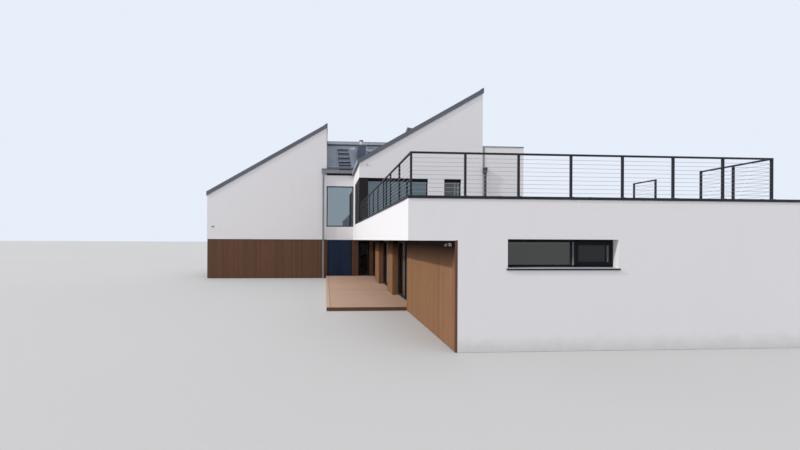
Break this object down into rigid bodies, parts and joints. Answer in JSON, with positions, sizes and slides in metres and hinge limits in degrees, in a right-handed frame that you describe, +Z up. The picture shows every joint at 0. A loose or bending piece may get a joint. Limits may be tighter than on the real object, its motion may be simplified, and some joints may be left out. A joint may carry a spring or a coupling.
{
  "type": "detached house",
  "caption": "House of mono-pitch blocks joined by a gabled link, with a long wing that carries a railed roof terrace over a covered deck.",
  "frame": {"origin": "middle of the whole house's plan, on the ground", "axes": "+X to the right along the front of the wing, +Y towards the back, +Z up"},
  "size_m": [21.7, 27.98, 11.9416],
  "materials": {
    "render": "matt",
    "concrete": "matt",
    "boards": "satin",
    "roof_metal": "matt",
    "trim_metal": "satin",
    "railing": "satin",
    "frame": "satin",
    "leaf": "satin",
    "glass": "gloss",
    "shutter": "satin",
    "deck": "matt",
    "timber": "matt"
  },
  "bodies": {
    "house": {"annex_back_wall": "render", "annex_floor": "concrete", "annex_front_wall": "render", "annex_roof": "roof_metal", "annex_side_wall": "render", "bay_frames": "frame", "chimney": "roof_metal", "copings": "trim_metal", "corner_panel": "frame", "deck_bearers": "timber", "deck_boards": "deck", "downpipes": "trim_metal", "eave_beam": "timber", "fixed_leaves": "leaf", "front_railing": "railing", "ground_floor": "concrete", "left_back_wall": "render", "left_cladding": "boards", "left_front_wall": "render", "left_high_wall": "render", "left_roof": "roof_metal", "left_side_wall": "render", "link_back_wall": "render", "link_front_wall": "render", "link_gutter": "trim_metal", "link_ridge": "roof_metal", "link_roof_back": "roof_metal", "link_roof_front": "roof_metal", "overhang_front_fascia": "render", "overhang_side_fascia": "render", "rear_door_frame": "frame", "rear_piers": "boards", "rear_shutter": "shutter", "return_railings": "railing", "right_back_wall": "render", "right_front_wall": "render", "right_high_wall": "render", "right_lower_wall": "render", "right_roof": "roof_metal", "right_side_wall": "render", "roof_cowl": "roof_metal", "roof_vent": "trim_metal", "roof_windows": "frame", "side_railing": "railing", "terrace_cladding": "boards", "terrace_slab": "concrete", "terrace_wall": "render", "upper_floor": "concrete", "window_frames": "frame", "window_glass": "glass", "window_sills": "trim_metal", "wing_back_wall": "render", "wing_floor": "concrete", "wing_front_wall": "render", "wing_right_wall": "render"},
    "front_leaf": {"front_sliding_leaf": "leaf"},
    "middle_leaf": {"middle_sliding_leaf": "leaf"},
    "rear_leaf": {"rear_sliding_leaf": "leaf"},
    "door_leaf": {"rear_door": "leaf"}
  },
  "joints": [
    {"name": "front_leaf_slide", "type": "slide", "parent": "house", "child": "front_leaf", "axis": [0, 1, 0], "range_m": [0, 1.458]},
    {"name": "middle_leaf_slide", "type": "slide", "parent": "house", "child": "middle_leaf", "axis": [0, 1, 0], "range_m": [0, 1.458]},
    {"name": "rear_leaf_slide", "type": "slide", "parent": "house", "child": "rear_leaf", "axis": [0, 1, 0], "range_m": [0, 1.458]},
    {"name": "door_hinge", "type": "hinge", "parent": "house", "child": "door_leaf", "pos_m": [0.537, 4.111, 0.16], "axis": [0, 0, -1], "range_deg": [0, 90]}
  ]
}
